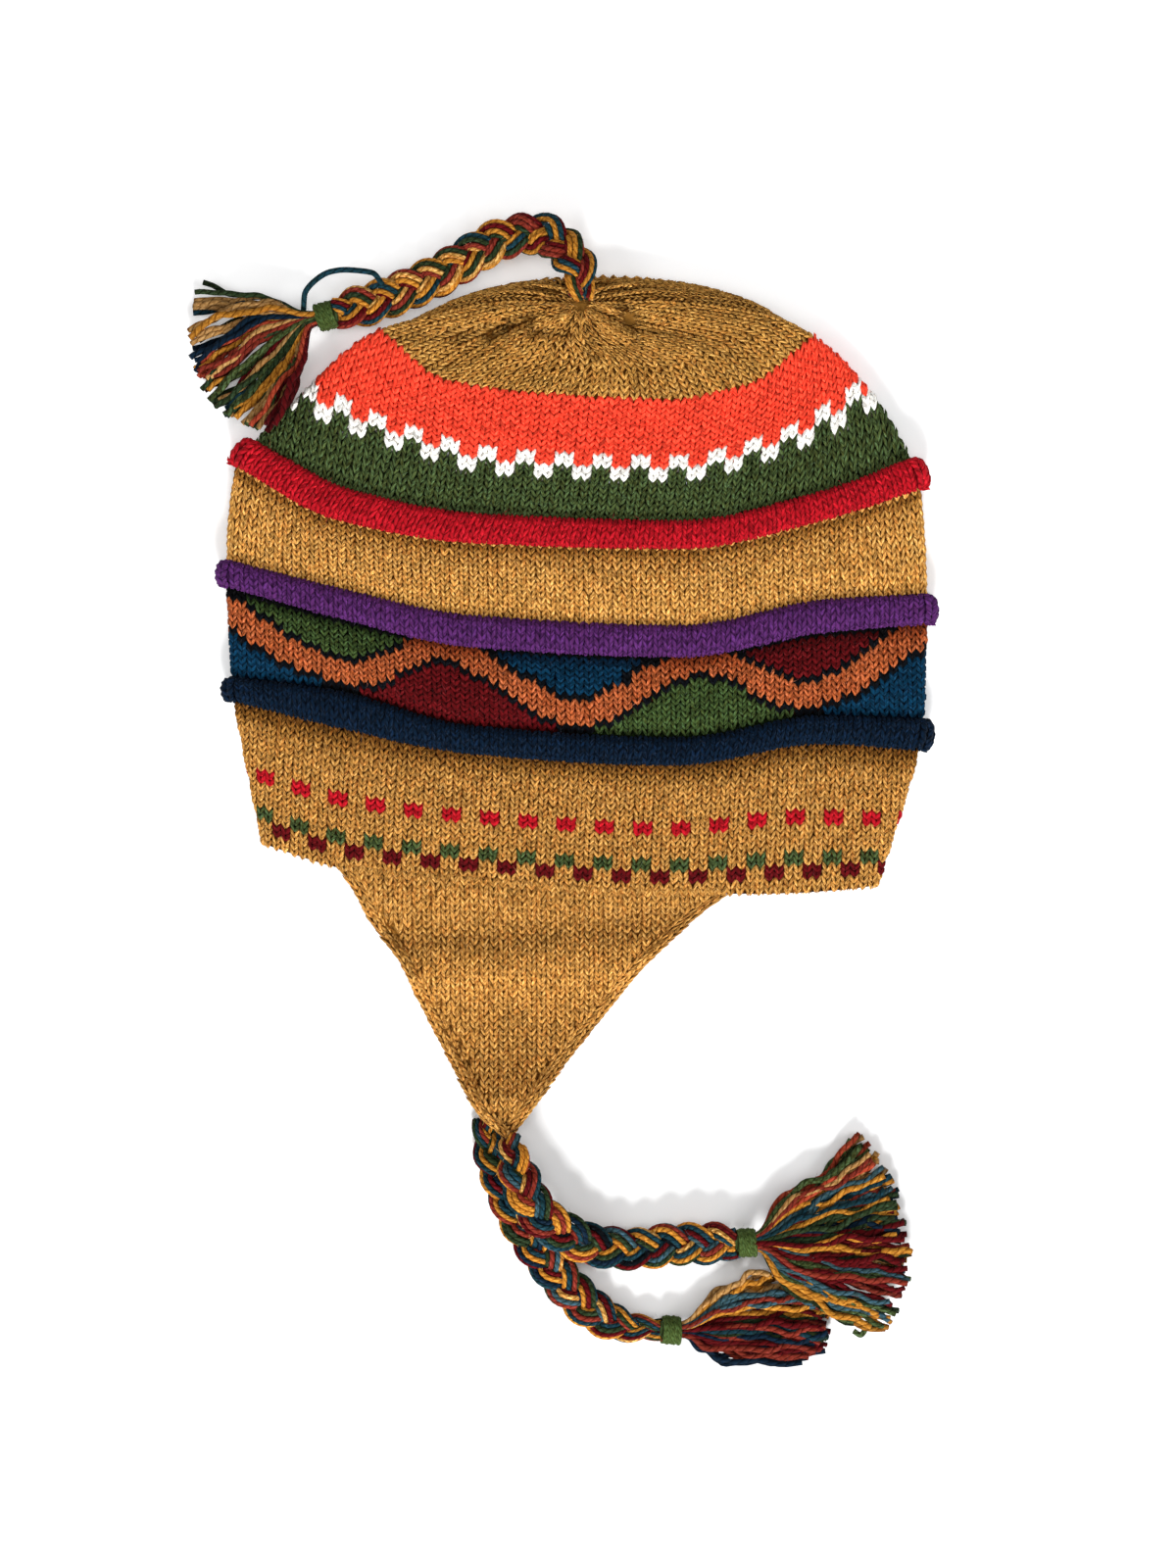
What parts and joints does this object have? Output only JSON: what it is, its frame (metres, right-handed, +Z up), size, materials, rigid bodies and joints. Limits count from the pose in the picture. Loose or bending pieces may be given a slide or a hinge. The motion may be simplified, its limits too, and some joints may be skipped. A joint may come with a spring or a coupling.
{
  "type": "knitted chullo hat",
  "caption": "Knitted chullo hat lying flat, with raised tucks round the body, ear flaps laid over each other, and a tasselled braid at the crown and at each flap.",
  "frame": {"origin": "middle of the hat without its braids, on the surface that it lies on", "axes": "+Z up from the surface, +Y towards the crown along the hat's length, +X across its width"},
  "size_m": [0.2442, 0.3766, 0.0236],
  "materials": {
    "gold_knit": "heathered gold stocking-stitch knit, matt, slightly hairy",
    "red_knit": "red stocking-stitch knit, matt",
    "purple_knit": "purple stocking-stitch knit, matt",
    "navy_knit": "dark blue stocking-stitch knit, matt",
    "braided_yarn": "plaited wool yarns in gold, coral, dark red, green and teal",
    "green_yarn": "wound green wool yarn, matt",
    "tassel_yarn": "loose two-ply wool yarn ends in gold, coral, dark red, green and teal"
  },
  "bodies": {
    "root": {"crown_shell": "gold_knit", "red_welt": "red_knit", "purple_welt": "purple_knit", "navy_welt": "navy_knit", "ear_flap_near": "gold_knit", "ear_flap_far": "gold_knit", "crown_braid": "braided_yarn", "near_braid": "braided_yarn", "far_braid": "braided_yarn", "crown_tie": "green_yarn", "near_tie": "green_yarn", "far_tie": "green_yarn", "crown_tassel": "tassel_yarn", "near_tassel": "tassel_yarn", "far_tassel": "tassel_yarn"}
  },
  "joints": []
}
